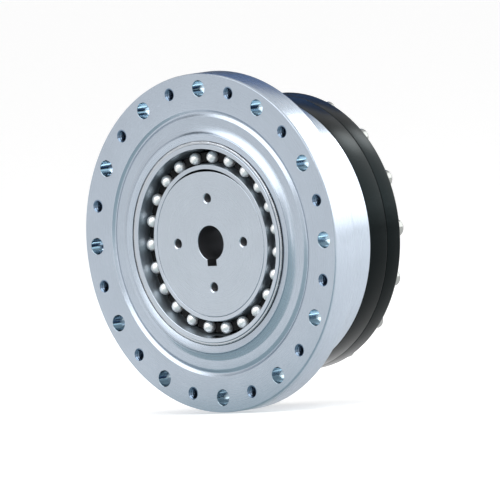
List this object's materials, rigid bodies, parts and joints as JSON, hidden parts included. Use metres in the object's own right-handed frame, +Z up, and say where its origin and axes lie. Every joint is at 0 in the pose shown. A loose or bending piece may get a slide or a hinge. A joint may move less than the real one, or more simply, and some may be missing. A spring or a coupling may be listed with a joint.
{
  "type": "strain wave gearbox",
  "caption": "Round strain wave gear unit: drilled steel flange, toothed ring and thin cup, elliptical ball-bearing wave generator with keyed bore, and black rear bearing rings",
  "frame": {"origin": "On the axis of the unit, at the centre of the flat front face of the flange, where the machine's bolts hold it", "axes": "+Y along the axis from the input side to the output side, +Z up with the wave generator's long axis, +X to the right seen from the front"},
  "size_m": [0.137, 0.0591, 0.137],
  "materials": {
    "ground_housing_steel": "fine ground and turned steel, cool light grey",
    "blackened_steel": "black oxide over turned steel, satin",
    "bright_screw_steel": "bright steel socket screw, satin",
    "black_screw_steel": "black oxide screw, satin",
    "bearing_steel": "ground bearing steel, bright",
    "polished_ball_steel": "polished bearing balls and rollers",
    "ground_plug_steel": "fine ground steel disc",
    "flexspline_steel": "thin turned alloy steel",
    "black_cage_nylon": "moulded black nylon, matte",
    "black_seal_rubber": "black nitrile rubber, matte"
  },
  "bodies": {
    "housing": {"circular_spline": "ground_housing_steel", "output_bearing_ring_front": "blackened_steel", "output_bearing_ring_rear": "blackened_steel", "output_oil_seal": "black_seal_rubber", "clamp_screw_01": "bright_screw_steel", "clamp_screw_02": "bright_screw_steel", "clamp_screw_03": "bright_screw_steel", "clamp_screw_04": "bright_screw_steel", "clamp_screw_05": "bright_screw_steel", "clamp_screw_06": "bright_screw_steel", "clamp_screw_07": "bright_screw_steel", "clamp_screw_08": "bright_screw_steel", "clamp_screw_09": "bright_screw_steel", "clamp_screw_10": "bright_screw_steel", "clamp_screw_11": "bright_screw_steel", "clamp_screw_12": "bright_screw_steel", "clamp_screw_13": "bright_screw_steel", "clamp_screw_14": "bright_screw_steel", "clamp_screw_15": "bright_screw_steel", "clamp_screw_16": "bright_screw_steel"},
    "wave_generator": {"wave_generator_plug": "ground_plug_steel", "wave_bearing_inner_race": "bearing_steel"},
    "ball_set": {"wave_bearing_cage": "black_cage_nylon", "wave_bearing_ball_01": "polished_ball_steel", "wave_bearing_ball_02": "polished_ball_steel", "wave_bearing_ball_03": "polished_ball_steel", "wave_bearing_ball_04": "polished_ball_steel", "wave_bearing_ball_05": "polished_ball_steel", "wave_bearing_ball_06": "polished_ball_steel", "wave_bearing_ball_07": "polished_ball_steel", "wave_bearing_ball_08": "polished_ball_steel", "wave_bearing_ball_09": "polished_ball_steel", "wave_bearing_ball_10": "polished_ball_steel", "wave_bearing_ball_11": "polished_ball_steel", "wave_bearing_ball_12": "polished_ball_steel", "wave_bearing_ball_13": "polished_ball_steel", "wave_bearing_ball_14": "polished_ball_steel", "wave_bearing_ball_15": "polished_ball_steel", "wave_bearing_ball_16": "polished_ball_steel", "wave_bearing_ball_17": "polished_ball_steel", "wave_bearing_ball_18": "polished_ball_steel", "wave_bearing_ball_19": "polished_ball_steel", "wave_bearing_ball_20": "polished_ball_steel", "wave_bearing_ball_21": "polished_ball_steel", "wave_bearing_ball_22": "polished_ball_steel", "wave_bearing_ball_23": "polished_ball_steel"},
    "output": {"flexspline": "flexspline_steel", "wave_bearing_outer_race": "bearing_steel", "flexspline_clamp_ring": "flexspline_steel", "output_flange": "bearing_steel", "flexspline_bolt_1": "black_screw_steel", "flexspline_bolt_2": "black_screw_steel", "flexspline_bolt_3": "black_screw_steel", "flexspline_bolt_4": "black_screw_steel", "flexspline_bolt_5": "black_screw_steel", "flexspline_bolt_6": "black_screw_steel"},
    "roller_set": {"crossed_roller_set": "polished_ball_steel"}
  },
  "joints": [
    {"name": "input_spin", "type": "hinge", "parent": "housing", "child": "wave_generator", "pos_m": [0, 0, 0], "axis": [0, 1, 0], "continuous": true},
    {"name": "cage_spin", "type": "hinge", "parent": "housing", "child": "ball_set", "pos_m": [0, 0, 0], "axis": [0, 1, 0], "continuous": true},
    {"name": "output_spin", "type": "hinge", "parent": "housing", "child": "output", "pos_m": [0, 0, 0], "axis": [0, 1, 0], "continuous": true, "deforming": ["flexspline"]},
    {"name": "roller_spin", "type": "hinge", "parent": "housing", "child": "roller_set", "pos_m": [0, 0, 0], "axis": [0, 1, 0], "continuous": true}
  ],
  "couplings": [
    {"joint": "cage_spin", "follows": "input_spin", "ratio": 0.455},
    {"joint": "output_spin", "follows": "input_spin", "ratio": -0.00625},
    {"joint": "roller_spin", "follows": "input_spin", "ratio": -0.003}
  ]
}
